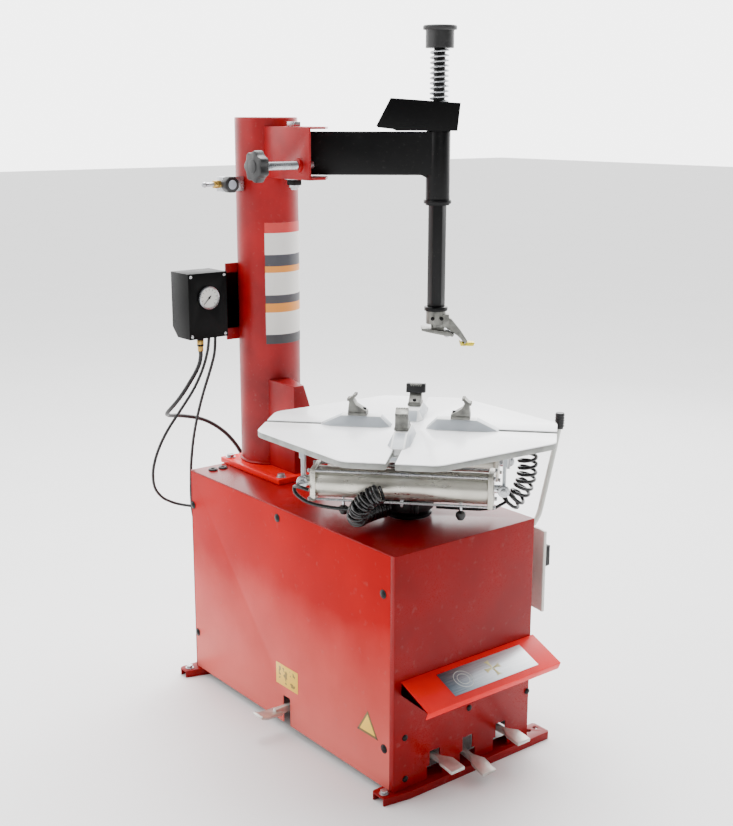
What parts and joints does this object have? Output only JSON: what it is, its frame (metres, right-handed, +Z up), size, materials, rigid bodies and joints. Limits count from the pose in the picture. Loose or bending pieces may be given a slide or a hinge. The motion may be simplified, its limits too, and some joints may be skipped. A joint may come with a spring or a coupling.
{
  "type": "tire changer",
  "caption": "Swing-arm tire changer with a clamping turntable, sprung mounting shaft, foot pedals and a side bead breaker.",
  "frame": {"origin": "bottom centre of the machine's bounding box without the three hoses", "axes": "+Z up, +X to the operator's right, +Y from the pedals back to the column"},
  "size_m": [0.7402, 1.0686, 1.767],
  "materials": {
    "red_paint": "semi-gloss",
    "black_paint": "satin",
    "black_steel": "satin",
    "table_paint": "satin",
    "zinc_steel": "satin",
    "grey_casting": "as cast",
    "aluminium": "brushed",
    "dark_casting": "as cast",
    "motor_paint": "satin",
    "rubber": "matt",
    "yellow_plastic": "matt",
    "gauge_metal": "satin",
    "grey_paint": "satin"
  },
  "bodies": {
    "machine": {"cabinet_shell": "red_paint", "left_side_cover": "red_paint", "rear_panel": "red_paint", "front_rail": "red_paint", "rear_rail": "red_paint", "pedal_tray": "red_paint", "column_base_plate": "red_paint", "column_tube": "red_paint", "column_gusset": "red_paint", "arm_bracket": "red_paint", "pivot_pin": "zinc_steel", "gauge_box": "black_paint", "pressure_gauge": "gauge_metal", "air_inlet": "zinc_steel", "gearbox": "dark_casting", "drive_belt": "rubber", "drive_motor": "motor_paint", "pedal_shaft": "zinc_steel", "breaker_hinge": "red_paint", "breaker_pad": "rubber", "breaker_cylinder": "dark_casting", "gauge_feed_hose": "rubber", "inflator_feed_hose": "rubber", "signal_hose": "rubber"},
    "gauge_pointer": {"gauge_needle": "black_paint"},
    "regulator": {"regulator_knob": "black_paint"},
    "stop": {"stop_screw": "zinc_steel", "stop_knob": "black_paint"},
    "arm": {"swing_arm": "black_steel", "shaft_spring": "zinc_steel"},
    "lock": {"lock_handle": "black_paint"},
    "shaft": {"hex_shaft": "black_steel", "shaft_cap": "black_paint", "mount_head": "grey_casting", "head_insert": "yellow_plastic"},
    "turntable": {"turntable_top": "table_paint", "spindle_hub": "black_paint", "front_curly_hose": "rubber", "side_curly_hose": "rubber"},
    "left_slide": {"left_carriage": "table_paint", "left_jaw": "grey_casting", "front_clamp_cylinder": "aluminium", "back_clamp_cylinder": "aluminium"},
    "right_slide": {"right_carriage": "table_paint", "right_jaw": "grey_casting", "front_clamp_rod": "zinc_steel", "back_clamp_rod": "zinc_steel"},
    "front_slide": {"front_carriage": "table_paint", "front_jaw": "grey_casting"},
    "back_slide": {"back_carriage": "table_paint", "back_jaw": "grey_casting"},
    "worm_pulley": {"gearbox_pulley": "dark_casting"},
    "motor_drive": {"motor_pulley": "dark_casting"},
    "rotate_pedal_body": {"rotate_pedal": "aluminium"},
    "clamp_pedal_body": {"clamp_pedal": "aluminium"},
    "breaker_pedal_body": {"breaker_pedal": "aluminium"},
    "inflate_pedal_body": {"inflate_pedal": "aluminium"},
    "breaker_arm_body": {"breaker_arm": "black_paint"},
    "breaker_blade_body": {"breaker_blade": "grey_paint"},
    "breaker_rod_body": {"breaker_rod": "zinc_steel"}
  },
  "joints": [
    {"name": "needle_turn", "type": "hinge", "parent": "machine", "child": "gauge_pointer", "pos_m": [-0.24638, 0.40514, 1.082], "axis": [0, 1, 0], "range_deg": [0, 270]},
    {"name": "regulator_turn", "type": "hinge", "parent": "machine", "child": "regulator", "pos_m": [-0.18768, 0.38514, 1.373], "axis": [0, 1, 0], "range_deg": [-180, 180]},
    {"name": "stop_travel", "type": "slide", "parent": "machine", "child": "stop", "axis": [1, 0, 0], "range_m": [0, 0.06]},
    {"name": "arm_swing", "type": "hinge", "parent": "machine", "child": "arm", "pos_m": [-0.05838, 0.27714, 1.453], "axis": [0, 0, 1], "range_deg": [-22, 58]},
    {"name": "lock_turn", "type": "hinge", "parent": "arm", "child": "lock", "pos_m": [0.23119, 0.04681, 1.55], "axis": [0, 0, 1], "range_deg": [0, 30]},
    {"name": "shaft_slide", "type": "slide", "parent": "arm", "child": "shaft", "axis": [0, 0, 1], "range_m": [-0.1, 0], "deforming": ["shaft_spring"]},
    {"name": "turntable_spin", "type": "hinge", "parent": "machine", "child": "turntable", "pos_m": [-0.05238, -0.18086, 0.7], "axis": [0, 0, 1], "continuous": true},
    {"name": "left_jaw_slide", "type": "slide", "parent": "turntable", "child": "left_slide", "axis": [-0.6756, 0.7373, 0], "range_m": [0, 0.115]},
    {"name": "right_jaw_slide", "type": "slide", "parent": "turntable", "child": "right_slide", "axis": [0.6756, -0.7373, 0], "range_m": [0, 0.115]},
    {"name": "front_jaw_slide", "type": "slide", "parent": "turntable", "child": "front_slide", "axis": [-0.7373, -0.6756, 0], "range_m": [0, 0.115]},
    {"name": "back_jaw_slide", "type": "slide", "parent": "turntable", "child": "back_slide", "axis": [0.7373, 0.6756, 0], "range_m": [0, 0.115]},
    {"name": "worm_turn", "type": "hinge", "parent": "machine", "child": "worm_pulley", "pos_m": [-0.11438, -0.04286, 0.5187], "axis": [0, 1, 0], "continuous": true},
    {"name": "motor_turn", "type": "hinge", "parent": "machine", "child": "motor_drive", "pos_m": [-0.11438, -0.04286, 0.27], "axis": [0, 1, 0], "continuous": true},
    {"name": "rotate_pedal_tilt", "type": "hinge", "parent": "machine", "child": "rotate_pedal_body", "pos_m": [-0.14438, -0.21486, 0.072], "axis": [1, 0, 0], "range_deg": [-3, 8]},
    {"name": "clamp_pedal_tilt", "type": "hinge", "parent": "machine", "child": "clamp_pedal_body", "pos_m": [-0.03838, -0.21486, 0.072], "axis": [1, 0, 0], "range_deg": [-10, 0.5]},
    {"name": "breaker_pedal_tilt", "type": "hinge", "parent": "machine", "child": "breaker_pedal_body", "pos_m": [0.07212, -0.21486, 0.072], "axis": [1, 0, 0], "range_deg": [0, 8]},
    {"name": "inflate_pedal_tilt", "type": "hinge", "parent": "machine", "child": "inflate_pedal_body", "pos_m": [-0.14238, 0.03414, 0.066], "axis": [0, -1, 0], "range_deg": [0, 8]},
    {"name": "breaker_swing", "type": "hinge", "parent": "machine", "child": "breaker_arm_body", "pos_m": [0.21562, 0.32514, 0.441], "axis": [0, 0, 1], "range_deg": [-2.5, 14]},
    {"name": "blade_swivel", "type": "hinge", "parent": "breaker_arm_body", "child": "breaker_blade_body", "pos_m": [0.26115, -0.2664, 0.441], "axis": [0, 0, 1], "range_deg": [-5, 5]},
    {"name": "breaker_rod_slide", "type": "slide", "parent": "machine", "child": "breaker_rod_body", "axis": [1, 0, 0], "range_m": [-0.03, 0.08]}
  ],
  "couplings": [
    {"joint": "right_jaw_slide", "follows": "left_jaw_slide", "ratio": 1},
    {"joint": "front_jaw_slide", "follows": "left_jaw_slide", "ratio": 1},
    {"joint": "back_jaw_slide", "follows": "left_jaw_slide", "ratio": 1},
    {"joint": "motor_turn", "follows": "worm_turn", "ratio": 2.2917},
    {"joint": "breaker_rod_slide", "follows": "breaker_swing", "m_per_rad": 0.313}
  ]
}
